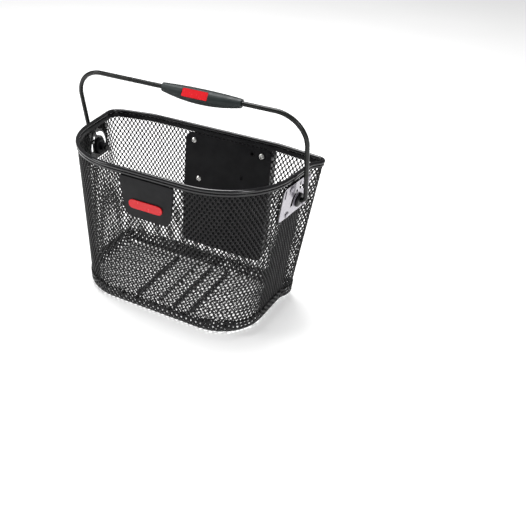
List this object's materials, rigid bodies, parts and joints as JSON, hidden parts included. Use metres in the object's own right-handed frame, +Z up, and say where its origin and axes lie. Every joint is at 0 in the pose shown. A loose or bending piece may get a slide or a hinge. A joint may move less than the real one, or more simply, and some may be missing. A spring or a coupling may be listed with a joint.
{
  "type": "handlebar basket",
  "caption": "Small wire-mesh bicycle basket that clips to a handlebar adapter by its back plate, with a swinging carrying handle.",
  "frame": {"origin": "on the flat underside of the base, midway between its sides and between the front and back walls", "axes": "+Z up, +Y from the front plate towards the handlebar adapter, +X to the right seen from the front"},
  "size_m": [0.2728, 0.1575, 0.2471],
  "materials": {
    "mesh_paint": "semi-gloss black powder coat on expanded steel mesh",
    "rim_paint": "gloss black powder coat",
    "bail_coat": "satin black plastic-coated steel wire",
    "grip_plastic": "fine-grained dark grey-green plastic",
    "red_plastic": "smooth bright red inlay, blank",
    "bracket_lacquer": "smooth grey lacquer with a faint lilac tone",
    "black_plastic": "black moulded plastic, semi-gloss",
    "zinc_steel": "bright zinc-plated steel"
  },
  "bodies": {
    "basket": {"wall_mesh": "mesh_paint", "base_mesh": "mesh_paint", "rim_wire": "rim_paint", "rim_edging": "rim_paint", "rim_hem": "mesh_paint", "side_bracket_left": "bracket_lacquer", "side_bracket_right": "bracket_lacquer", "bracket_rivet_left_1": "bracket_lacquer", "bracket_rivet_left_2": "bracket_lacquer", "bracket_rivet_left_3": "bracket_lacquer", "bracket_rivet_left_4": "bracket_lacquer", "bracket_rivet_right_1": "bracket_lacquer", "bracket_rivet_right_2": "bracket_lacquer", "bracket_rivet_right_3": "bracket_lacquer", "bracket_rivet_right_4": "bracket_lacquer", "pivot_bush_left": "black_plastic", "pivot_bush_right": "black_plastic", "pivot_hub_left": "black_plastic", "pivot_hub_right": "black_plastic", "front_plate": "black_plastic", "front_badge": "red_plastic", "stud_washer_1": "zinc_steel", "stud_washer_2": "zinc_steel", "inner_plate": "black_plastic", "adapter_plate": "black_plastic", "adapter_screw_1": "zinc_steel", "adapter_screw_2": "zinc_steel", "adapter_screw_3": "zinc_steel", "adapter_screw_4": "zinc_steel"},
    "bail": {"bail_wire": "bail_coat", "grip_front": "grip_plastic", "grip_rear": "grip_plastic", "grip_badge": "red_plastic", "pin_clip_left": "black_plastic", "pin_clip_right": "black_plastic"}
  },
  "joints": [
    {"name": "bail_swing", "type": "hinge", "parent": "basket", "child": "bail", "pos_m": [0, 0.0165, 0.145], "axis": [1, 0, 0], "range_deg": [-44, 45]}
  ]
}
